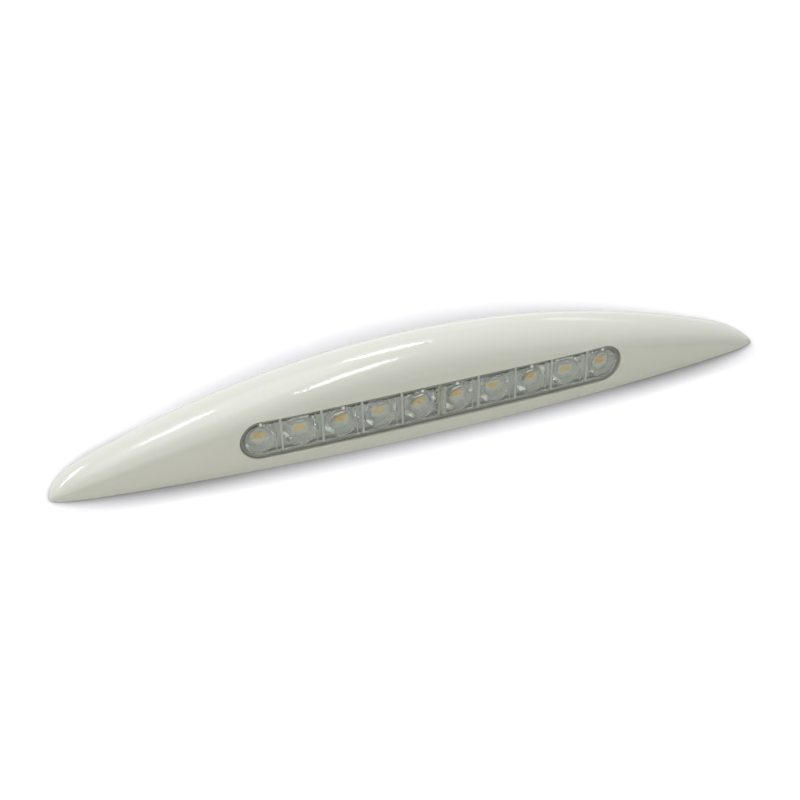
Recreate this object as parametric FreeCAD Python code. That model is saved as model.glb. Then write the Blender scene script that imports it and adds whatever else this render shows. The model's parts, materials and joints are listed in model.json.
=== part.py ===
import FreeCAD, Part
import math
import os

from FreeCAD import Placement, Rotation, Vector

# Exterior awning lamp: a crescent cover that clips over a base plate on the wall.
# Millimetres. X runs along the lamp, +Z points away from the wall, -Y is the lit side.
# The origin is on the wall face, at the middle of the lamp's outline.

# Outline of the cover, seen from the front of the wall
body_length = 264.0
front_depth = 10.9        # lit edge to the line through both tips, at the middle
back_depth = 27.1         # that line to the far edge, at the middle
tip_front = 2.7           # the same two depths where the nose starts to round off
tip_back = 11.0
nose_power = 29.0         # higher is a blunter nose

# Height of the cover above the wall and the shape of its section
body_height = 30.5
tip_height = 3.6
shoulder_share_mid = 0.70 # the flat facet ends at this share of the height
shoulder_share_tip = 0.35 # and at the tips, which are rounder
shoulder_power = 4        # higher keeps the middle's share nearer to the tips
crown_share = 0.40        # the crown line lies at this share of the width
facet_lean = 6.8          # degrees that the facet leans back at the middle, upright at the tips
lean_power = 4            # higher makes it upright nearer to the middle
roundover_pull = 0.6      # fullness of the roundover above the facet
crown_pull = 0.55         # fullness of the back slope next to the crown
hip_height = 0.5          # share of the height where the back slope turns down
hip_width = 0.98          # and its share of the width
nose_stations = 11        # sections round each nose
body_stations = 5         # sections from the middle to each nose
body_share = 0.8          # share of the half length that they cover
hollow_stations = 4       # sections round each nose inside
wall = 2.2

# Window and lens
cell_count = 10
cell_pitch = 14.0
window_height = 14.4
window_sill = 4.2         # height of the window's lower edge above the wall
lens_lean = 5.5
lens_recess = 0.65        # lens face behind the facet
lens_gap = 1.6            # slot edge to lens, filled by the seal
seat_depth = 2.0          # lens face to the seat of its flange
flange_margin = 1.0
collar_margin = 1.2       # thickened edge of the slot inside the cover
flange_thickness = 1.4
flange_clearance = 0.1
flange_room = 0.4         # pocket of the cover behind the flange
seal_drop = 0.4           # lens face down to the seal
seal_round = 0.5          # rounding of the seal's face
seal_clearance = 0.05
rib_width = 1.2           # ribs between the cells, which also centre the lens
rib_proud = 0.25
rib_depth = 0.3
rib_clearance = 0.1
notch_radius = 0.7        # nick at the foot of each rib
notch_depth = 1.2
joint_width = 0.4         # score across the lens at its middle
joint_depth = 0.7
slot_lip = 0.4            # rounding of the slot's outer edge

# Collimator cup behind each cell
optic_depth = 6.2         # lens face to the circuit board, at the middle
cup_front_radius = 6.4
cup_back_radius = 4.4
cup_waist_radius = 5.8    # half way along the cup
well_radius = 3.5
domed_well_depth = 2.3    # narrow-beam cells
dome_rise = 0.9
plain_well_depth = 1.9    # wide-beam cells, flat over the lamp chip

# Circuit board and what it carries
board_thickness = 1.6
board_height = 13.0
board_overhang = 10.0     # board past the window at each end
board_corner = 1.5
led_length = 5.6
led_width = 3.0
led_height = 0.9
led_pool_length = 4.4
led_pool_width = 2.3
led_pool_depth = 0.5
lead_hole_radius = 0.7
lead_hole_spacing = 3.0

# Board screws
screw_inset = 4.0         # screw to the end of the board
screw_radius = 1.05
screw_length = 4.2
screw_head_radius = 2.0
screw_head_height = 1.4
screw_recess_radius = 0.9
screw_recess_depth = 0.8
boss_radius = 2.9
pilot_radius = 1.1
pilot_depth = 3.2
board_hole_radius = 1.3

# Base plate, foam and cable inlet
foam_thickness = 1.0
foam_width = 4.0
foam_inset = 0.6
foam_end = 9.0            # the ring is wider at its two ends
plate_thickness = 1.8
plate_end_gap = 18.0      # end of the plate to the cover's tip
plate_clearance = 0.4
plate_corner = 3.0
fixing_spacing = 150.0
fixing_radius = 2.25
fixing_pad_radius = 5.0
fixing_pad_height = 1.2
fixing_head_room = 4.0    # kept free over the pad for the screw's head
fixing_offset = 4.0       # line of the fixing holes, from the lamp's middle
inlet_offset = 4.0        # cable inlet, from the lamp's middle
inlet_radius = 2.6
grommet_neck_radius = 4.2
grommet_flange_radius = 6.0
grommet_under = 0.8       # flange on the wall side
grommet_over = 1.4        # flange inside
grommet_clearance = 0.05

# Snap hooks between the plate and the cover
hook_back_x = 62.0
hook_width = 9.0
hook_thickness = 1.7
hook_gap = 0.4            # stem to ledge
hook_bite = 0.8           # nose past the stem's gap, over the ledge
hook_nose_height = 2.2
hook_seat = 0.1
ledge_depth = 1.2
ledge_height = 1.3
ledge_rise = 2.2          # ledge above the plate

# Stiffening webs of the cover, which stand on the plate
web_thickness = 1.6
web_inset = 4.0           # web to the end of the plate
gusset_place = 36.0       # shorter webs behind the board
gusset_clearance = 2.0

# Parts on the back of the board: length, width, height
chip_size = (5.0, 4.0, 1.6)
coil_size = (6.0, 6.0, 3.0)
diode_size = (4.4, 2.7, 2.1)
capacitor_size = (3.2, 2.5, 2.0)
resistor_size = (3.2, 1.6, 0.6)
part_gap = 8.0            # between neighbours along the board
part_edge = 0.25          # bevel on the moulded parts

# Sizes that follow from those above
half = body_length / 2
width = front_depth + back_depth
tip_line = front_depth - width / 2
window_length = cell_count * cell_pitch
window_middle = window_sill + window_height / 2
board_half = window_length / 2 + board_overhang
screw_x = board_half - screw_inset
plate_bottom = foam_thickness
plate_top = plate_bottom + plate_thickness
board_front = -optic_depth
board_back = board_front - board_thickness
plate_reach = half - plate_end_gap
web_place = plate_reach - web_inset
hook_front_x = (board_half + web_place) / 2
hook_seat_z = plate_top + ledge_rise + ledge_height
hook_top = hook_seat_z + hook_seat + hook_nose_height
below = 1.0               # how far a cut starts outside the piece


def nose(x, inset):
    """Share of the section left at x: 1 along the body, 0 at the tip."""
    return math.sqrt(max(0.0, 1 - abs(x / (half - inset)) ** nose_power))


def front_edge(x, inset=0.0):
    depth = front_depth - inset - (front_depth - tip_front) * (x / half) ** 2
    return tip_line - depth * nose(x, inset)


def back_edge(x, inset=0.0):
    depth = back_depth - inset - (back_depth - tip_back) * (x / half) ** 2
    return tip_line + depth * nose(x, inset)


def crown(x, inset=0.0):
    height = body_height - inset - (body_height - tip_height) * (x / half) ** 2
    return height * nose(x, inset)


def lean(x):
    """Slope of the facet at x."""
    return math.tan(math.radians(facet_lean)) * (1 - (x / half) ** 2) ** lean_power


def shoulder_share(x):
    fall = (shoulder_share_mid - shoulder_share_tip) * abs(x / half) ** shoulder_power
    return shoulder_share_mid - fall


def bezier(*points):
    curve = Part.BezierCurve()
    curve.setPoles(list(points))
    return curve.toShape()


def back_poles(x, inset):
    """Poles of the back slope at x, from the crown line down to the base."""
    front = front_edge(x, inset)
    back = back_edge(x, inset)
    top = crown(x, inset)
    span = back - front
    ridge = front + crown_share * span
    hip = front + hip_width * span
    return [(ridge, top), (ridge + crown_pull * (back - ridge), top), (hip, hip_height * top), (back, 0)]


def back_wall(x, z, inset):
    """Place of the back slope at height z."""
    poles = back_poles(x, inset)
    low, high = 0.0, 1.0
    for step in range(40):
        t = (low + high) / 2
        shares = ((1 - t) ** 3, 3 * t * (1 - t) ** 2, 3 * t ** 2 * (1 - t), t ** 3)
        height = sum(share * pole[1] for share, pole in zip(shares, poles))
        low, high = (t, high) if height > z else (low, t)
    return sum(share * pole[0] for share, pole in zip(shares, poles))


def section(x, inset):
    """Closed section at x: facet, roundover, back slope, and a base just below the wall face."""
    front = front_edge(x, inset)
    back = back_edge(x, inset)
    top = crown(x, inset)
    span = back - front
    slope = lean(x)
    rise = shoulder_share(x) * top
    at = lambda y, z: Vector(x, y, z)
    foot = at(front - slope * below, -below)
    shoulder = at(front + slope * rise, rise)
    ridge_y = front + crown_share * span
    ridge = at(ridge_y, top)
    heel = at(back, -below)
    reach = roundover_pull * (top - rise)
    round_front = bezier(
        shoulder,
        shoulder + at(slope * reach, reach) - at(0, 0),
        at(ridge_y - roundover_pull * (ridge_y - shoulder.y), top),
        ridge,
    )
    round_back = bezier(*[at(y, z) for y, z in back_poles(x, inset)])
    facet = Part.LineSegment(foot, shoulder).toShape()
    skirt = Part.LineSegment(at(back, 0), heel).toShape()
    base = Part.LineSegment(heel, foot).toShape()
    return Part.Wire([facet, round_front, round_back, skirt, base])


def stations(inset, nose_count):
    """Places along X for the sections, closer together round the noses."""
    tip = half - inset
    angles = [math.pi / 2 * (number + 0.5) / nose_count for number in range(nose_count)]
    ends = [tip * math.cos(angle) ** (2 / nose_power) for angle in angles]
    body = [tip * body_share * number / body_stations for number in range(body_stations, 0, -1)]
    right = ends + body
    return [-x for x in right] + [0.0] + right[::-1]


def crescent():
    """Outside of the cover: a smooth loft, cut flat where it meets the wall."""
    loft = Part.makeLoft([section(x, 0.0) for x in stations(0.0, nose_stations)], True, False)
    return loft.common(box(-body_length, body_length, -width, width, 0, 2 * body_height))


def hollow():
    """Inside of the cover, open towards the wall."""
    return Part.makeLoft([section(x, wall) for x in stations(wall, hollow_stations)], True, True)


def box(x0, x1, y0, y1, z0, z1):
    return Part.makeBox(x1 - x0, y1 - y0, z1 - z0, Vector(x0, y0, z0))


def centred_box(size, x, y, z0):
    return box(x - size[0] / 2, x + size[0] / 2, y - size[1] / 2, y + size[1] / 2, z0, z0 + size[2])


def rod(radius, x, y, z0, z1):
    return Part.makeCylinder(radius, z1 - z0, Vector(x, y, z0))


def obround(length, height, z0, z1):
    """Prism with half-round ends, in the lens frame."""
    r = height / 2
    e = length / 2 - r
    right = Part.Arc(Vector(e, -r, z0), Vector(e + r, 0, z0), Vector(e, r, z0)).toShape()
    left = Part.Arc(Vector(-e, r, z0), Vector(-e - r, 0, z0), Vector(-e, -r, z0)).toShape()
    top = Part.LineSegment(Vector(e, r, z0), Vector(-e, r, z0)).toShape()
    bottom = Part.LineSegment(Vector(-e, -r, z0), Vector(e, -r, z0)).toShape()
    face = Part.Face(Part.Wire([bottom, right, top, left]))
    return face.extrude(Vector(0, 0, z1 - z0))


def facet_at(x, z):
    """Place of the facet at x and height z."""
    return front_edge(x) + lean(x) * z


def window_place():
    """Middle of the lens face."""
    return Vector(0, facet_at(0, window_middle) + lens_recess, window_middle)


def bow(x):
    """How far the lens face curves back at x, as the facet in front of it does."""
    end = window_length / 2
    fall = facet_at(end, window_middle) - facet_at(0, window_middle)
    radius = (end ** 2 + fall ** 2) / (2 * fall)
    return radius - math.sqrt(radius ** 2 - x ** 2)


def in_window(shape):
    """Moves a shape from the lens frame (x along, y up, z out of the face) to the lamp."""
    shape.Placement = Placement(window_place(), Rotation(Vector(1, 0, 0), 90 - lens_lean))
    return shape


def cell_places():
    return [cell_pitch * (i - (cell_count - 1) / 2) for i in range(cell_count)]


def window_slot(grow, z0, z1):
    """The window's outline between two depths, bowed along its length."""
    reach = window_length
    drop = bow(reach)
    at = lambda x, z: Vector(x, -window_height, z)
    low = Part.Arc(at(-reach, z0 - drop), at(0, z0), at(reach, z0 - drop)).toShape()
    high = Part.Arc(at(reach, z1 - drop), at(0, z1), at(-reach, z1 - drop)).toShape()
    right = Part.LineSegment(at(reach, z0 - drop), at(reach, z1 - drop)).toShape()
    left = Part.LineSegment(at(-reach, z1 - drop), at(-reach, z0 - drop)).toShape()
    slab = Part.Face(Part.Wire([low, right, high, left])).extrude(Vector(0, 2 * window_height, 0))
    outline = obround(window_length + 2 * grow, window_height + 2 * grow, z0 - drop, z1 + below)
    return slab.common(outline).Solids[0]


# Base plate outline: two shallow curves that follow the cover's inner wall
def plate_outline(inset, reach, z):
    gap = plate_clearance + inset
    front = lambda x: front_edge(x, wall) + lean(x) * plate_top + gap
    back = lambda x: back_wall(x, plate_top, wall) - gap
    # a parabola's middle pole lies as far past its apex as its ends lie short of it
    front_pole = 2 * front(0) - front(reach)
    back_pole = 2 * back(0) - back(reach)
    near = bezier(Vector(-reach, front(reach), z), Vector(0, front_pole, z), Vector(reach, front(reach), z))
    far = bezier(Vector(reach, back(reach), z), Vector(0, back_pole, z), Vector(-reach, back(reach), z))
    right = Part.LineSegment(Vector(reach, front(reach), z), Vector(reach, back(reach), z)).toShape()
    left = Part.LineSegment(Vector(-reach, back(reach), z), Vector(-reach, front(reach), z)).toShape()
    return Part.Face(Part.Wire([near, right, far, left]))


def plate_prism(inset, reach, z0, z1):
    prism = plate_outline(inset, reach, z0).extrude(Vector(0, 0, z1 - z0))
    upright = [e for e in prism.Edges if e.BoundBox.ZLength > (z1 - z0) / 2]
    end_width = abs(upright[0].Vertexes[0].Y - upright[-1].Vertexes[0].Y)
    return prism.makeFillet(min(plate_corner, 0.4 * end_width), upright)


def hook_places():
    """Each snap hook: a point on the cover's inner wall and the turn that faces it outwards."""
    places = []
    for side in (-1, 1):
        x = side * hook_back_x
        slope = -2 * (back_depth - tip_back) * x / half ** 2
        places.append((Vector(x, back_wall(x, hook_top, wall), 0), math.degrees(math.atan(slope))))
        x = side * hook_front_x
        slope = 2 * (front_depth - tip_front) * x / half ** 2
        y = front_edge(x, wall) + lean(x) * hook_top
        places.append((Vector(x, y, 0), 180 + math.degrees(math.atan(slope))))
    return places


def at_hook(shape, place):
    shape.Placement = Placement(place[0], Rotation(Vector(0, 0, 1), place[1]))
    return shape


# Hook frame: x along the wall, y outwards with the wall's inner face at 0, z up
def hook_ledge():
    return box(-hook_width / 2, hook_width / 2, -ledge_depth, wall, hook_seat_z - ledge_height, hook_seat_z)


def hook_tongue():
    face = -ledge_depth - hook_gap
    back = face - hook_thickness
    nose_y = face + hook_gap + hook_bite
    root = plate_bottom + plate_thickness / 2
    seat = hook_seat_z + hook_seat
    outline = ((back, root), (face, root), (face, seat), (nose_y, seat), (face, hook_top), (back, hook_top))
    points = [Vector(-hook_width / 2, y, z) for y, z in outline]
    return Part.Face(Part.makePolygon(points + points[:1])).extrude(Vector(hook_width, 0, 0))


def make_cover():
    outer = crescent()
    shell = outer.cut(hollow())
    inside = [in_window(window_slot(collar_margin, -seat_depth, lens_recess + wall))]
    for side in (-1, 1):
        inside.append(in_window(rod(boss_radius, side * screw_x, 0, board_front, wall)))
    for place in hook_places():
        inside.append(at_hook(hook_ledge(), place))
    driver_back = window_place().y + (optic_depth + board_thickness + coil_size[2]) + gusset_clearance
    for side in (-1, 1):
        for x, front in ((side * web_place, -width), (side * gusset_place, driver_back)):
            web = box(x - web_thickness / 2, x + web_thickness / 2, front, width, plate_top, body_height)
            inside.append(web)
    inside = [piece.common(outer) for piece in inside]
    cover = shell.multiFuse(inside)
    cuts = [in_window(window_slot(0, -seat_depth - below, lens_recess + 2 * wall))]
    pocket_floor = -seat_depth - flange_thickness - flange_room
    cuts.append(in_window(window_slot(flange_margin, pocket_floor, -seat_depth)))
    for side in (-1, 1):
        pilot = rod(pilot_radius, side * screw_x, 0, board_front - below, board_front + pilot_depth)
        cuts.append(in_window(pilot))
        x = side * fixing_spacing / 2
        head_top = plate_top + fixing_pad_height + fixing_head_room
        cuts.append(rod(fixing_pad_radius + plate_clearance, x, fixing_offset, plate_top - below, head_top))
    cover = cover.cut(Part.Compound(cuts)).removeSplitter()
    return cover.makeFillet(slot_lip, [edge for edge in cover.Edges if on_slot_rim(edge)])


def on_slot_rim(edge):
    """True for an edge where the slot meets the outside of the cover."""
    radius = window_height / 2
    straight = window_length / 2 - radius
    back = in_window(Part.makeBox(1, 1, 1)).Placement.inverse()
    points = [back.multVec(point) for point in edge.discretize(7)]
    near = [abs(math.hypot(max(0, abs(p.x) - straight), p.y) - radius) < slot_lip / 10 for p in points]
    return all(near) and min(p.z + bow(p.x) for p in points) > -seat_depth / 2


def cup(x, domed):
    """One collimator: a swelling cone with a well over its lamp chip."""
    front = -seat_depth - flange_thickness / 2 - bow(x)
    step = (front - board_front) / 2
    tail = Part.makeCone(cup_back_radius, cup_waist_radius, step, Vector(x, 0, board_front))
    head = Part.makeCone(cup_waist_radius, cup_front_radius, step, Vector(x, 0, board_front + step))
    roof = board_front + (domed_well_depth if domed else plain_well_depth)
    well = rod(well_radius, x, 0, board_front - below, roof)
    if domed:
        dome_radius = (well_radius ** 2 + dome_rise ** 2) / (2 * dome_rise)
        well = well.cut(Part.makeSphere(dome_radius, Vector(x, 0, roof - dome_rise + dome_radius)))
    return tail.fuse(head).cut(well)


def make_lens():
    pieces = [window_slot(flange_margin - flange_clearance, -seat_depth - flange_thickness, -seat_depth)]
    places = cell_places()
    for number, x in enumerate(places):
        from_end = min(number, cell_count - 1 - number)
        pieces.append(cup(x, from_end % 2 == 0))
    rib_top = window_height / 2 - rib_clearance
    rib_foot = lens_gap - window_height / 2
    seams = [x - cell_pitch / 2 for x in places[1:]]
    for seam in seams:
        back = -bow(seam) - rib_depth
        front = -bow(seam) + rib_proud
        pieces.append(box(seam - rib_width / 2, seam + rib_width / 2, rib_foot, rib_top, back, front))
    lens = window_slot(-lens_gap, -seat_depth, 0).multiFuse(pieces)
    middle = seams[len(seams) // 2]
    side = joint_width / 2
    score_top = rib_proud + below
    cuts = [box(middle - side, middle + side, rib_foot, rib_top, -joint_depth, score_top)]
    for seam in seams:
        cuts.append(rod(notch_radius, seam, rib_foot, -bow(seam) - notch_depth, rib_proud + below))
    return in_window(lens.cut(Part.Compound(cuts)).removeSplitter())


def make_seal():
    ring = window_slot(-seal_clearance, -seat_depth, -seal_drop)
    ring = ring.cut(window_slot(-lens_gap + seal_clearance, -seat_depth - below, below))
    rim = []
    for edge in ring.Edges:
        points = edge.discretize(7)
        if all(abs(p.z + bow(p.x) + seal_drop) < seal_round / 10 for p in points):
            rim.append(edge)
    return in_window(ring.makeFillet(seal_round, rim))


def make_board():
    board = box(-board_half, board_half, -board_height / 2, board_height / 2, board_back, board_front)
    upright = [e for e in board.Edges if abs(e.Vertexes[0].Z - e.Vertexes[1].Z) > board_thickness / 2]
    board = board.makeFillet(board_corner, upright)
    holes = []
    for side in (-1, 1):
        holes.append(rod(board_hole_radius, side * screw_x, 0, board_back - below, board_front + below))
        x = board_half - 2 * screw_inset
        y = side * lead_hole_spacing / 2
        holes.append(rod(lead_hole_radius, x, y, board_back - below, board_front + below))
    return in_window(board.cut(Part.Compound(holes)))


def make_board_screws():
    screws = []
    for side in (-1, 1):
        x = side * screw_x
        head = rod(screw_head_radius, x, 0, board_back - screw_head_height, board_back)
        head = head.fuse(rod(screw_radius, x, 0, board_back, board_back + screw_length))
        recess_top = board_back - screw_head_height + screw_recess_depth
        recess = rod(screw_recess_radius, x, 0, board_back - screw_head_height - below, recess_top)
        screws.append(in_window(head.cut(recess).removeSplitter()))
    return Part.Compound(screws)


def led_pool(x):
    top = board_front + led_height
    return centred_box((led_pool_length, led_pool_width, led_pool_depth), x, 0, top - led_pool_depth)


def make_led(x):
    body = centred_box((led_length, led_width, led_height), x, 0, board_front)
    return in_window(body.cut(led_pool(x)))


def board_part(size, slot, count=1):
    """Moulded parts on the back of the board, in the given slots along it."""
    parts = []
    for number in range(count):
        x = part_gap * (slot + number)
        piece = centred_box(size, x, 0, board_back - size[2])
        lower = [e for e in piece.Edges if e.BoundBox.ZMax < board_back - size[2] / 2]
        parts.append(in_window(piece.makeChamfer(part_edge, lower)))
    return parts[0] if count == 1 else Part.Compound(parts)


def make_plate():
    plate = plate_prism(0, plate_reach, plate_bottom, plate_top)
    for side in (-1, 1):
        x = side * fixing_spacing / 2
        plate = plate.fuse(rod(fixing_pad_radius, x, fixing_offset, plate_top, plate_top + fixing_pad_height))
    for place in hook_places():
        plate = plate.fuse(at_hook(hook_tongue(), place))
    top = plate_top + fixing_pad_height + below
    holes = [rod(grommet_neck_radius, 0, inlet_offset, plate_bottom - below, top)]
    for side in (-1, 1):
        x = side * fixing_spacing / 2
        holes.append(rod(fixing_radius, x, fixing_offset, plate_bottom - below, top))
    return plate.cut(Part.Compound(holes)).removeSplitter()


def make_foam():
    reach = plate_reach - foam_inset
    ring = plate_prism(foam_inset, reach, 0, foam_thickness)
    return ring.cut(plate_prism(foam_inset + foam_width, reach - foam_end, -below, foam_thickness + below))


def make_grommet():
    neck = grommet_neck_radius - grommet_clearance
    body = rod(neck, 0, inlet_offset, plate_bottom, plate_top)
    body = body.fuse(rod(grommet_flange_radius, 0, inlet_offset, plate_bottom - grommet_under, plate_bottom))
    body = body.fuse(rod(grommet_flange_radius, 0, inlet_offset, plate_top, plate_top + grommet_over))
    inlet = rod(inlet_radius, 0, inlet_offset, -below, plate_top + grommet_over + below)
    return body.cut(inlet).removeSplitter()


pieces = {
    "cover": make_cover(),
    "lens": make_lens(),
    "lens_seal": make_seal(),
    "circuit_board": make_board(),
    "board_screws": make_board_screws(),
    "driver_chip": board_part(chip_size, 0),
    "choke_coil": board_part(coil_size, 1),
    "diode": board_part(diode_size, -1),
    "capacitor": board_part(capacitor_size, -2),
    "resistors": board_part(resistor_size, 2, 2),
    "base_plate": make_plate(),
    "wall_foam": make_foam(),
    "cable_grommet": make_grommet(),
}
for number, place in enumerate(cell_places(), 1):
    pieces[f"led_body_{number:02d}"] = make_led(place)
    pieces[f"led_phosphor_{number:02d}"] = in_window(led_pool(place))

os.makedirs("parts", exist_ok=True)
for name, shape in pieces.items():
    shape.exportStep(f"parts/{name}.step")
    solids = len(shape.Solids)
    print(f"{name}: {solids} solid(s), valid {shape.isValid()}, volume {shape.Volume:.1f}")
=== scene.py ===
import json
import math

import bmesh
import bpy
from mathutils import Matrix, Vector, noise


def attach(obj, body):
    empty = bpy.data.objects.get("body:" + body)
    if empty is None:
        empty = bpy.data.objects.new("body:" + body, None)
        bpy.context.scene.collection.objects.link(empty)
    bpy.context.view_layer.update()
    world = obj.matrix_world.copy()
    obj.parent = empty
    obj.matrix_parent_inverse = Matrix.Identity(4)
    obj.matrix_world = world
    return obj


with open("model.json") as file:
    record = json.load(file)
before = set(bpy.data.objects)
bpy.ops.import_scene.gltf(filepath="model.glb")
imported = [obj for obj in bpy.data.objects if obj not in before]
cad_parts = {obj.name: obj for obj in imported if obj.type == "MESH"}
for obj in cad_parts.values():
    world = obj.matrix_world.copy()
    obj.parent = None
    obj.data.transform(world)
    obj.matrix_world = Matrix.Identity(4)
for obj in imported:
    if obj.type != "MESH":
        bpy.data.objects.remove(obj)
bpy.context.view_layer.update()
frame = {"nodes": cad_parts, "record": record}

nodes = frame["nodes"]
mm = 0.001


def hexToLinear(code):
    channels = [int(code[i:i + 2], 16) / 255 for i in (1, 3, 5)]
    return [c / 12.92 if c <= 0.04045 else ((c + 0.055) / 1.055) ** 2.4 for c in channels] + [1.0]


def addNode(tree, kind, inputs=None, **settings):
    node = tree.nodes.new(kind)
    for key, value in settings.items():
        setattr(node, key, value)
    for key, value in (inputs or {}).items():
        if isinstance(value, bpy.types.NodeSocket):
            tree.links.new(value, node.inputs[key])
        else:
            node.inputs[key].default_value = value
    return node


def newMaterial(name):
    material = bpy.data.materials.new(name)
    material.use_nodes = True
    material.node_tree.nodes.clear()
    return material, material.node_tree


def perMm(size):
    return 1 / (size * mm)    # texture scale that gives features of this size


# moulded ABS from a polished tool: soft white with a faint green cast, wet gloss, a trace of flow waviness
coverLook = {
    "light": "#E0E1D1", "dark": "#DBDCCB", "mottleSize": 40, "waveSize": 9, "waveHeight": 0.0012,
    "roughness": (0.10, 0.16), "ior": 1.52, "coat": 0.3, "coatRoughness": 0.08,
}


def glossAbs():
    look = coverLook
    material, tree = newMaterial("moulded gloss white ABS")
    place = addNode(tree, "ShaderNodeTexCoord").outputs["Object"]
    mottle = addNode(tree, "ShaderNodeTexNoise", {
        "Vector": place, "Scale": perMm(look["mottleSize"]), "Detail": 2}).outputs["Fac"]
    colour = addNode(tree, "ShaderNodeMix", {
        0: mottle, 6: hexToLinear(look["dark"]), 7: hexToLinear(look["light"])}, data_type="RGBA")
    gloss = addNode(tree, "ShaderNodeMapRange", {
        "Value": mottle, "To Min": look["roughness"][0], "To Max": look["roughness"][1]})
    wave = addNode(tree, "ShaderNodeTexNoise", {
        "Vector": place, "Scale": perMm(look["waveSize"]), "Detail": 1})
    bump = addNode(tree, "ShaderNodeBump", {
        "Height": wave.outputs["Fac"], "Strength": 1.0, "Distance": look["waveHeight"] * mm})
    shader = addNode(tree, "ShaderNodeBsdfPrincipled", {
        "Base Color": colour.outputs[2], "Normal": bump.outputs[0], "Roughness": gloss.outputs[0],
        "IOR": look["ior"], "Coat Weight": look["coat"], "Coat Roughness": look["coatRoughness"]})
    addNode(tree, "ShaderNodeOutputMaterial", {"Surface": shader.outputs[0]})
    return material


# moulded polycarbonate: clear with a cool haze, so the cups behind it show as soft bright and dark arcs
lensLook = {"cool": "#F1F5F2", "warm": "#EEF1E4", "hazeSize": 9, "roughness": 0.05, "ior": 1.585,
            "clear": 0.88}


def clearPolycarbonate():
    look = lensLook
    material, tree = newMaterial("moulded clear polycarbonate")
    place = addNode(tree, "ShaderNodeTexCoord").outputs["Object"]
    haze = addNode(tree, "ShaderNodeTexNoise", {
        "Vector": place, "Scale": perMm(look["hazeSize"]), "Detail": 2})
    tint = addNode(tree, "ShaderNodeMix", {
        0: haze.outputs["Fac"], 6: hexToLinear(look["cool"]), 7: hexToLinear(look["warm"])}, data_type="RGBA")
    shader = addNode(tree, "ShaderNodeBsdfPrincipled", {
        "Base Color": tint.outputs[2], "Roughness": look["roughness"], "IOR": look["ior"],
        "Transmission Weight": look["clear"]})
    clear = addNode(tree, "ShaderNodeBsdfTransparent", {"Color": (1, 1, 1, 1)})
    path = addNode(tree, "ShaderNodeLightPath")    # lamps reach what is behind the lens
    mix = addNode(tree, "ShaderNodeMixShader", {
        0: path.outputs["Is Shadow Ray"], 1: shader.outputs[0], 2: clear.outputs[0]})
    addNode(tree, "ShaderNodeOutputMaterial", {"Surface": mix.outputs[0]})
    return material


def grainy(name, light, dark, grain, roughness, height, metallic=0.0, ior=1.5, clear=0.0):
    material, tree = newMaterial(name)
    place = addNode(tree, "ShaderNodeTexCoord").outputs["Object"]
    speckle = addNode(tree, "ShaderNodeTexNoise", {
        "Vector": place, "Scale": perMm(grain), "Detail": 3}).outputs["Fac"]
    colour = addNode(tree, "ShaderNodeMix", {
        0: speckle, 6: hexToLinear(dark), 7: hexToLinear(light)}, data_type="RGBA")
    gloss = addNode(tree, "ShaderNodeMapRange", {
        "Value": speckle, "To Min": roughness[0], "To Max": roughness[1]})
    bump = addNode(tree, "ShaderNodeBump", {"Height": speckle, "Strength": 1.0, "Distance": height * mm})
    shader = addNode(tree, "ShaderNodeBsdfPrincipled", {
        "Base Color": colour.outputs[2], "Normal": bump.outputs[0], "Roughness": gloss.outputs[0],
        "Metallic": metallic, "IOR": ior, "Transmission Weight": clear})
    addNode(tree, "ShaderNodeOutputMaterial", {"Surface": shader.outputs[0]})
    return material


# phosphor gel cast in a white package: deep yellow pool, pale at the corners where it runs thin over the wall
poolLook = {"deep": "#FFCB08", "thin": "#EFE9D2", "pitch": 14.0, "long": 4.4, "wide": 2.3, "height": 10.87,
            "fade": (0.8, 1.14), "roughness": 0.2}


def castPhosphor():
    look = poolLook
    material, tree = newMaterial("cast phosphor gel")
    place = addNode(tree, "ShaderNodeTexCoord").outputs["Object"]
    place = addNode(tree, "ShaderNodeSeparateXYZ", {0: place}).outputs
    cell = addNode(tree, "ShaderNodeMath", {0: place["X"], 1: perMm(look["pitch"])}, operation="MULTIPLY")
    cell = addNode(tree, "ShaderNodeMath", {0: cell.outputs[0]}, operation="FRACT")
    cell = addNode(tree, "ShaderNodeMath", {0: cell.outputs[0], 1: 0.5}, operation="SUBTRACT")
    along = addNode(tree, "ShaderNodeMath", {
        0: cell.outputs[0], 1: 2 * look["pitch"] / look["long"]}, operation="MULTIPLY")
    up = addNode(tree, "ShaderNodeMath", {0: place["Z"], 1: look["height"] * mm}, operation="SUBTRACT")
    up = addNode(tree, "ShaderNodeMath", {0: up.outputs[0], 1: 2 * perMm(look["wide"])}, operation="MULTIPLY")
    away = addNode(tree, "ShaderNodeCombineXYZ", {"X": along.outputs[0], "Y": up.outputs[0]}).outputs[0]
    away = addNode(tree, "ShaderNodeVectorMath", {0: away}, operation="LENGTH").outputs["Value"]
    thin = addNode(tree, "ShaderNodeMapRange", {
        "Value": away, "From Min": look["fade"][0], "From Max": look["fade"][1]},
        interpolation_type="SMOOTHSTEP")
    colour = addNode(tree, "ShaderNodeMix", {
        0: thin.outputs[0], 6: hexToLinear(look["deep"]), 7: hexToLinear(look["thin"])}, data_type="RGBA")
    shader = addNode(tree, "ShaderNodeBsdfPrincipled", {
        "Base Color": colour.outputs[2], "Roughness": look["roughness"]})
    addNode(tree, "ShaderNodeOutputMaterial", {"Surface": shader.outputs[0]})
    return material


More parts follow.
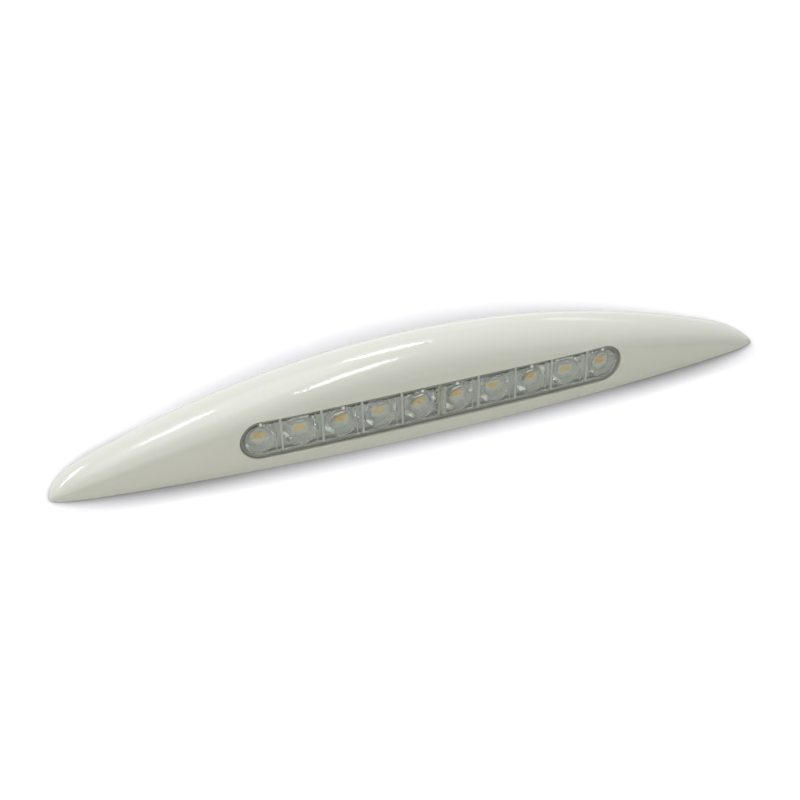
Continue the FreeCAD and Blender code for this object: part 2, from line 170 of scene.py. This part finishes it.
# a grainy finish: name, pale and dark colour, grain (mm), range of roughness, height of the grain (mm)
finishes = {
    "white_cover": glossAbs(),
    "clear_lens": clearPolycarbonate(),
    # pressed silicone: a dull grey band that frames the lens
    "dark_seal": grainy("moulded silicone seal", "#9A9B8F", "#86877B", 2, (0.4, 0.6), 0.01),
    # mask printed on the board: flat white that brightens the cups from behind
    "white_board": grainy("white solder mask", "#F1F4F2", "#E6EAE8", 1.5, (0.3, 0.45), 0.01),
    # zinc over turned steel: a soft grey metal sheen
    "screw_steel": grainy("zinc plated steel", "#C9CACB", "#A9AAAB", 1, (0.25, 0.4), 0.005, metallic=1.0),
    # moulded epoxy: small matt black blocks
    "black_moulding": grainy("moulded epoxy", "#2A2A2C", "#1C1C1E", 0.5, (0.5, 0.7), 0.01),
    # fired ceramic: a dry tan block
    "tan_ceramic": grainy("fired ceramic", "#B4936B", "#9C7D58", 0.5, (0.4, 0.6), 0.01),
    # ABS from a spark eroded tool: even pale grey with a fine matt grain
    "grey_plate": grainy("spark textured ABS", "#D2D4CE", "#C6C8C2", 0.8, (0.5, 0.65), 0.02),
    # cut foam sheet: black, dull and finely pitted
    "closed_foam": grainy("closed cell foam", "#2C2C2C", "#161616", 0.6, (0.85, 1.0), 0.1),
    # moulded rubber: dark with a low sheen
    "black_rubber": grainy("moulded rubber", "#242424", "#181818", 0.7, (0.5, 0.7), 0.01),
    # moulded nylon: a bright white frame round each pool
    "led_package": grainy("moulded white nylon", "#F2F2EE", "#E6E6E0", 0.5, (0.35, 0.5), 0.005),
    "led_phosphor": castPhosphor(),
}
for part in frame["record"]["subparts"]:
    mesh = nodes[part["node"]].data
    mesh.materials.clear()
    mesh.materials.append(finishes[part["material_slot"]])
print("finishes on", len(nodes), "pieces")

# what follows is in mm, in the lens's own frame: along the lamp, up the face, out of the face
lensPlace = {"middle": (0, -16.99, 11.4), "lean": 5.5, "bowRadius": 1871.6}


def newTree(title, sizes):
    tree = bpy.data.node_groups.new(title, "GeometryNodeTree")
    tree.interface.new_socket("Geometry", in_out="OUTPUT", socket_type="NodeSocketGeometry")
    for name, value in sizes.items():
        kind = "NodeSocketInt" if isinstance(value, int) else "NodeSocketFloat"
        tree.interface.new_socket(name, in_out="INPUT", socket_type=kind)
    return tree, addNode(tree, "NodeGroupInput").outputs


def setInLens(tree, copies, finish):
    whole = addNode(tree, "GeometryNodeRealizeInstances", {"Geometry": copies}).outputs[0]
    turn = (math.radians(90 - lensPlace["lean"]), 0, 0)
    for move in ({"Rotation": turn}, {"Translation": lensPlace["middle"]}, {"Scale": (mm, mm, mm)}):
        whole = addNode(tree, "GeometryNodeTransform", {"Geometry": whole, **move}).outputs[0]
    whole = addNode(tree, "GeometryNodeSetMaterial", {"Geometry": whole, "Material": finish}).outputs[0]
    addNode(tree, "NodeGroupOutput", {"Geometry": whole})
    return tree


def growPiece(name, tree, sizes):
    holder = bpy.data.objects.new(name, bpy.data.meshes.new(name))
    bpy.context.collection.objects.link(holder)
    modifier = holder.modifiers.new(name, "NODES")
    modifier.node_group = tree
    for socket in tree.interface.items_tree:
        if socket.in_out == "INPUT":
            modifier[socket.identifier] = sizes[socket.name]
    ready = holder.evaluated_get(bpy.context.evaluated_depsgraph_get())
    mesh = bpy.data.meshes.new_from_object(ready)
    holder.modifiers.remove(modifier)
    holder.data = mesh
    return holder


# frosted flanks of the polycarbonate ribs: light caught in the edge makes them read as soft white bars
ribLook = {"frost": "#DEE4DD", "frostDark": "#CDD4CC", "grain": 0.6, "roughness": (0.35, 0.55),
           "height": 0.01, "clear": 0.3}
frost = grainy("moulded frosted polycarbonate", ribLook["frost"], ribLook["frostDark"], ribLook["grain"],
               ribLook["roughness"], ribLook["height"], ior=lensLook["ior"], clear=ribLook["clear"])
frontRibs = {"Count": 9, "Pitch": 14.0, "Shift": 0.0, "Gather": 0.0, "Width": 0.85, "Depth": 0.5,
             "Foot": -5.5, "Top": 7.05, "Level": 0.05, "Round": 0.2, "Bow Radius": lensPlace["bowRadius"]}
# faint second line beside each rib, inside the lens
cellEdges = {"Count": 9, "Pitch": 14.0, "Shift": -1.9, "Gather": 0.0, "Width": 0.45, "Depth": 0.3,
             "Foot": -5.3, "Top": 5.6, "Level": -0.85, "Round": 0.1, "Bow Radius": lensPlace["bowRadius"]}

# polished white pips on the lens's upper edge: a painted glint, one white dot standing in for the reflection
# above each narrow cell
glintLook = {"pale": "#FFFFF6", "dark": "#FAFAF0", "grain": 0.6, "roughness": (0.08, 0.15), "height": 0.002}
glintWhite = grainy("white for painted glints", glintLook["pale"], glintLook["dark"], glintLook["grain"],
                glintLook["roughness"], glintLook["height"], ior=lensLook["ior"])
glintPips = {"Count": 6, "Pitch": 28.0, "Shift": -0.2, "Gather": 7.6, "Width": 1.0, "Depth": 0.8,
           "Foot": 5.8, "Top": 6.6, "Level": 0.15, "Round": 0.3, "Bow Radius": lensPlace["bowRadius"]}


def ribTree(title, finish):
    tree, size = newTree(title, frontRibs)
    steps = addNode(tree, "ShaderNodeMath", {0: size["Count"], 1: 1.0}, operation="SUBTRACT").outputs[0]
    first = addNode(tree, "ShaderNodeMath", {0: steps, 1: size["Pitch"]}, operation="MULTIPLY")
    first = addNode(tree, "ShaderNodeMath", {
        0: first.outputs[0], 1: -0.5, 2: size["Shift"]}, operation="MULTIPLY_ADD")
    start = addNode(tree, "ShaderNodeCombineXYZ", {"X": first.outputs[0], "Z": size["Level"]})
    step = addNode(tree, "ShaderNodeCombineXYZ", {"X": size["Pitch"]})
    seams = addNode(tree, "GeometryNodeMeshLine", {
        "Count": size["Count"], "Start Location": start.outputs[0], "Offset": step.outputs[0]})
    along = addNode(tree, "GeometryNodeInputPosition").outputs[0]
    along = addNode(tree, "ShaderNodeSeparateXYZ", {0: along}).outputs["X"]
    side = addNode(tree, "ShaderNodeMath", {0: along}, operation="SIGN")
    inward = addNode(tree, "ShaderNodeMath", {0: side.outputs[0], 1: size["Gather"]}, operation="MULTIPLY")
    inward = addNode(tree, "ShaderNodeMath", {0: inward.outputs[0], 1: -1.0}, operation="MULTIPLY")
    inward = addNode(tree, "ShaderNodeCombineXYZ", {"X": inward.outputs[0]})    # both halves to the middle
    seams = addNode(tree, "GeometryNodeSetPosition", {
        "Geometry": seams.outputs[0], "Offset": inward.outputs[0]})
    square = addNode(tree, "ShaderNodeMath", {0: along, 1: along}, operation="MULTIPLY")
    bow = addNode(tree, "ShaderNodeMath", {0: square.outputs[0], 1: size["Bow Radius"]}, operation="DIVIDE")
    bow = addNode(tree, "ShaderNodeMath", {0: bow.outputs[0], 1: -0.5}, operation="MULTIPLY")
    back = addNode(tree, "ShaderNodeCombineXYZ", {"Z": bow.outputs[0]})    # the lens's face curves back
    seams = addNode(tree, "GeometryNodeSetPosition", {
        "Geometry": seams.outputs[0], "Offset": back.outputs[0]})
    foot = addNode(tree, "ShaderNodeCombineXYZ", {"Y": size["Foot"]})
    top = addNode(tree, "ShaderNodeCombineXYZ", {"Y": size["Top"]})
    spine = addNode(tree, "GeometryNodeCurvePrimitiveLine", {"Start": foot.outputs[0], "End": top.outputs[0]})
    outline = addNode(tree, "GeometryNodeCurvePrimitiveQuadrilateral", {
        "Width": size["Width"], "Height": size["Depth"]})
    outline = addNode(tree, "GeometryNodeFilletCurve", {
        "Curve": outline.outputs[0], "Radius": size["Round"], "Count": 4}, mode="POLY")
    bar = addNode(tree, "GeometryNodeCurveToMesh", {
        "Curve": spine.outputs[0], "Profile Curve": outline.outputs[0], "Fill Caps": True})
    number = addNode(tree, "GeometryNodeInputIndex").outputs[0]
    halfway = addNode(tree, "ShaderNodeMath", {0: steps, 1: 0.5}, operation="MULTIPLY").outputs[0]
    onJoint = addNode(tree, "ShaderNodeMath", {0: number, 1: halfway, 2: 0.25}, operation="COMPARE")
    # a bar in the very middle would sit on the joint, so it is left out
    offJoint = addNode(tree, "ShaderNodeMath", {0: 1.0, 1: onJoint.outputs[0]}, operation="SUBTRACT")
    bars = addNode(tree, "GeometryNodeInstanceOnPoints", {
        "Points": seams.outputs[0], "Instance": bar.outputs[0], "Selection": offJoint.outputs[0]})
    return setInLens(tree, bars.outputs[0], finish)


ribs = ribTree("ribsAlongLens", frost)
# the pips are the same bars in white: painted glints on the upper edge
glintTree = ribTree("glintsAlongLens", glintWhite)
rows = (("frontRibs", ribs, frontRibs), ("cellEdges", ribs, cellEdges), ("glintPips", glintTree, glintPips))
for name, tree, sizes in rows:
    piece = growPiece(name, tree, sizes)
    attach(piece, "root")
    print(name, len(piece.data.polygons), "faces")

# cemented joint between the two halves of the lens: a cloudy smear behind the face
jointLook = {"left": -0.9, "right": 2.3, "foot": -5.3, "top": 5.4, "front": -0.8, "back": -1.3, "rough": 0.3,
             "flatten": 0.4, "grain": 0.9, "rows": 24, "columns": 8, "pale": "#D0D3C5", "dark": "#B4B7A9",
             "roughness": (0.4, 0.7), "height": 0.05, "seed": 4}


def cementLayer():
    look = jointLook
    noise.seed_set(look["seed"])    # unseeded, the ragged edge would change with the clock
    mesh = bmesh.new()
    for level in (look["back"], look["front"]):
        sheet = []
        for row in range(look["rows"] + 1):
            up = look["foot"] + (look["top"] - look["foot"]) * row / look["rows"]
            line = []
            for column in range(look["columns"] + 1):
                along = look["left"] + (look["right"] - look["left"]) * column / look["columns"]
                ragged = look["rough"] * noise.noise_vector(Vector((along, up, level)) / look["grain"])
                out = level + look["flatten"] * ragged.z
                line.append(mesh.verts.new((along + ragged.x, up + ragged.y, out)))
            sheet.append(line)
        for low, high in zip(sheet, sheet[1:]):
            for column in range(look["columns"]):
                mesh.faces.new((low[column], low[column + 1], high[column + 1], high[column]))
    bmesh.ops.bridge_loops(mesh, edges=[edge for edge in mesh.edges if edge.is_boundary])
    bmesh.ops.recalc_face_normals(mesh, faces=mesh.faces)
    lean = Matrix.Rotation(math.radians(90 - lensPlace["lean"]), 4, "X")
    mesh.transform(Matrix.Scale(mm, 4) @ Matrix.Translation(lensPlace["middle"]) @ lean)
    data = bpy.data.meshes.new("lensJoint")
    mesh.to_mesh(data)
    mesh.free()
    data.materials.append(grainy("cemented polycarbonate", look["pale"], look["dark"], look["grain"],
                                 look["roughness"], look["height"], ior=lensLook["ior"]))
    piece = bpy.data.objects.new("lensJoint", data)
    bpy.context.collection.objects.link(piece)
    return piece


# air trapped along one edge of the cement: a row of small dark beads
bubbleLook = {"pale": "#4A4C44", "dark": "#2E302A", "grain": 0.5, "roughness": (0.1, 0.2), "height": 0.01}
bubbles = {"Count": 9, "Along": -1.5, "Foot": -4.8, "Top": 4.8, "Level": -1.1, "Stray": 0.4, "Smallest": 0.22,
           "Largest": 0.48, "Seed": 4}


def bubbleTree():
    look = bubbleLook
    tree, size = newTree("bubblesInJoint", bubbles)
    foot = addNode(tree, "ShaderNodeCombineXYZ", {"X": size["Along"], "Y": size["Foot"], "Z": size["Level"]})
    top = addNode(tree, "ShaderNodeCombineXYZ", {"X": size["Along"], "Y": size["Top"], "Z": size["Level"]})
    row = addNode(tree, "GeometryNodeMeshLine", {
        "Count": size["Count"], "Start Location": foot.outputs[0], "Offset": top.outputs[0]},
        mode="END_POINTS")
    low = addNode(tree, "ShaderNodeMath", {0: size["Stray"], 1: -1.0}, operation="MULTIPLY").outputs[0]
    least = addNode(tree, "ShaderNodeCombineXYZ", {"X": low, "Y": low})
    most = addNode(tree, "ShaderNodeCombineXYZ", {"X": size["Stray"], "Y": size["Stray"]})
    stray = addNode(tree, "FunctionNodeRandomValue", {
        0: least.outputs[0], 1: most.outputs[0], "Seed": size["Seed"]}, data_type="FLOAT_VECTOR")
    row = addNode(tree, "GeometryNodeSetPosition", {"Geometry": row.outputs[0], "Offset": stray.outputs[0]})
    ball = addNode(tree, "GeometryNodeMeshIcoSphere", {"Radius": 1.0, "Subdivisions": 2})
    radius = addNode(tree, "FunctionNodeRandomValue", {
        2: size["Smallest"], 3: size["Largest"], "Seed": size["Seed"]}, data_type="FLOAT")
    balls = addNode(tree, "GeometryNodeInstanceOnPoints", {
        "Points": row.outputs[0], "Instance": ball.outputs[0], "Scale": radius.outputs[1]})
    skin = grainy("trapped air bubbles", look["pale"], look["dark"], look["grain"], look["roughness"],
                  look["height"])
    return setInLens(tree, balls.outputs[0], skin)


joint = cementLayer()
trapped = growPiece("jointBubbles", bubbleTree(), bubbles)
for piece in (joint, trapped):
    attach(piece, "root")
print("lens joint", len(joint.data.polygons) + len(trapped.data.polygons), "faces")


def eyeRays(tree):
    path = addNode(tree, "ShaderNodeLightPath").outputs
    eyes = addNode(tree, "ShaderNodeMath", {
        0: path["Is Camera Ray"], 1: path["Is Glossy Ray"]}, operation="MAXIMUM")
    eyes = addNode(tree, "ShaderNodeMath", {
        0: eyes.outputs[0], 1: path["Is Transmission Ray"]}, operation="MAXIMUM")
    return path["Is Camera Ray"], eyes.outputs[0]


# pale paper with a painted contact shadow: ambient occlusion darkens the paper that the camera sees close to
# the lamp, and it reads as white further out
stageLook = {"seen": "#CECDC8", "bounce": "#B6B6AF", "size": 6.0, "ambient": 0.285, "contact": 11.5,
             "depth": 1.9, "samples": 16, "whiten": (0.18, 0.45)}
bpy.ops.mesh.primitive_plane_add(size=stageLook["size"])
floor = bpy.context.object
floor.name = "paleFloor"
floorMaterial, tree = newMaterial("white paper")
# painted shadow: camera rays see the paper darkened by ambient occlusion near the lamp, while other rays see
# the plain bounce colour
near = addNode(tree, "ShaderNodeAmbientOcclusion", {"Distance": stageLook["contact"] * mm},
               samples=stageLook["samples"])
near = addNode(tree, "ShaderNodeMath", {0: near.outputs["AO"], 1: stageLook["depth"]}, operation="POWER")
seen = addNode(tree, "ShaderNodeMix", {
    0: near.outputs[0], 6: (0, 0, 0, 1), 7: hexToLinear(stageLook["seen"])}, data_type="RGBA")
cameraRay, eyes = eyeRays(tree)
shade = addNode(tree, "ShaderNodeMix", {
    0: cameraRay, 6: hexToLinear(stageLook["bounce"]), 7: seen.outputs[2]}, data_type="RGBA")
paper = addNode(tree, "ShaderNodeBsdfDiffuse", {"Color": shade.outputs[2]})
place = addNode(tree, "ShaderNodeTexCoord").outputs["Object"]
away = addNode(tree, "ShaderNodeVectorMath", {0: place}, operation="LENGTH").outputs["Value"]
lift = addNode(tree, "ShaderNodeMapRange", {
    "Value": away, "From Min": stageLook["whiten"][0], "From Max": stageLook["whiten"][1]},
    interpolation_type="SMOOTHSTEP")
lift = addNode(tree, "ShaderNodeMath", {0: lift.outputs[0], 1: eyes}, operation="MULTIPLY")
glow = addNode(tree, "ShaderNodeEmission", {"Strength": lift.outputs[0]})
both = addNode(tree, "ShaderNodeAddShader", {0: paper.outputs[0], 1: glow.outputs[0]})
addNode(tree, "ShaderNodeOutputMaterial", {"Surface": both.outputs[0]})
floor.data.materials.append(floorMaterial)
paperOnly = bpy.data.collections.new("paperOnly")
paperOnly.objects.link(floor)

# the room is white to the eye and only a soft fill for the rest
world = bpy.data.worlds.new("softRoom")
bpy.context.scene.world = world
world.use_nodes = True
tree = world.node_tree
tree.nodes.clear()
eyes = eyeRays(tree)[1]
strength = addNode(tree, "ShaderNodeMapRange", {"Value": eyes, "To Min": stageLook["ambient"], "To Max": 1.0})
sky = addNode(tree, "ShaderNodeBackground", {"Color": (1, 1, 1, 1), "Strength": strength.outputs[0]})
addNode(tree, "ShaderNodeOutputWorld", {"Surface": sky.outputs[0]})

# lamps: name, place, aim, width and depth (m), power (W), colour; most are cool, as daylight tubes are
cool, plain = (0.97, 0.98, 1.085), (1.0, 1.0, 0.97)
lamps = (
    ("shadowKey", (-0.10, 0.14, 0.94), (0, 0, 0), 0.45, 0.30, 3.0, cool),
    ("broadTop", (-0.32, 0.33, 0.9), (0, 0, 0), 1.1, 0.7, 1.6, cool),
    ("backLeft", (-0.368, 0.425, 0.755), (-0.09, 0, 0.02), 0.23, 0.08, 0.58, cool),
    ("backRight", (0.166, 0.515, 0.735), (0, 0, 0.03), 0.20, 0.08, 0.7, cool),
    ("overhead", (0.06, -0.08, 0.91), (-0.03, -0.01, 0.03), 0.38, 0.14, 1.05, cool),
    ("farLeft", (-0.615, 0.60, 0.44), (-0.12, 0, 0), 0.32, 0.07, 0.58, cool),
    ("edgeRight", (0.54, 0.63, 0.44), (0.05, 0, 0.02), 0.5, 0.03, 0.10, cool),
    ("frontFill", (-0.7, -0.9, 0.5), (0, 0, 0.01), 1.0, 0.6, 0.95, plain),
    ("paperFront", (-0.27, -1.07, 0.665), (0, 0, 0), 0.9, 0.25, 27.4, cool),
)
for name, place, aim, wide, deep, power, colour in lamps:
    light = bpy.data.lights.new(name, "AREA")
    light.shape = "ELLIPSE"    # the streaks on the gloss taper at both ends
    light.size, light.size_y, light.energy = wide, deep, power
    light.color = colour
    lamp = bpy.data.objects.new(name, light)
    bpy.context.collection.objects.link(lamp)
    lamp.location = place
    lamp.rotation_euler = (Vector(aim) - Vector(place)).to_track_quat("-Z", "Y").to_euler()
    lamp.visible_glossy = name != "shadowKey"    # it lays the shadow and leaves no streak on the gloss
    if name == "paperFront":    # it lights the paper alone and leaves the soft shade behind the lamp
        lamp.light_linking.receiver_collection = paperOnly

shot = {"place": (-0.12113, -0.30587, 0.2493), "yaw": 20.204, "pitch": 37.152, "lens": 51.75, "sensor": 36.0,
        "nearest": 0.01}
cameraData = bpy.data.cameras.new("shot")
cameraData.lens, cameraData.sensor_width = shot["lens"], shot["sensor"]
cameraData.sensor_fit = "HORIZONTAL"
cameraData.clip_start = shot["nearest"]
camera = bpy.data.objects.new("shot", cameraData)
bpy.context.collection.objects.link(camera)
camera.location = shot["place"]
camera.rotation_euler = (math.radians(90 - shot["pitch"]), 0, -math.radians(shot["yaw"]))
bpy.context.scene.camera = camera
bpy.context.scene.view_settings.view_transform = "Standard"
print("camera and lamps in place")
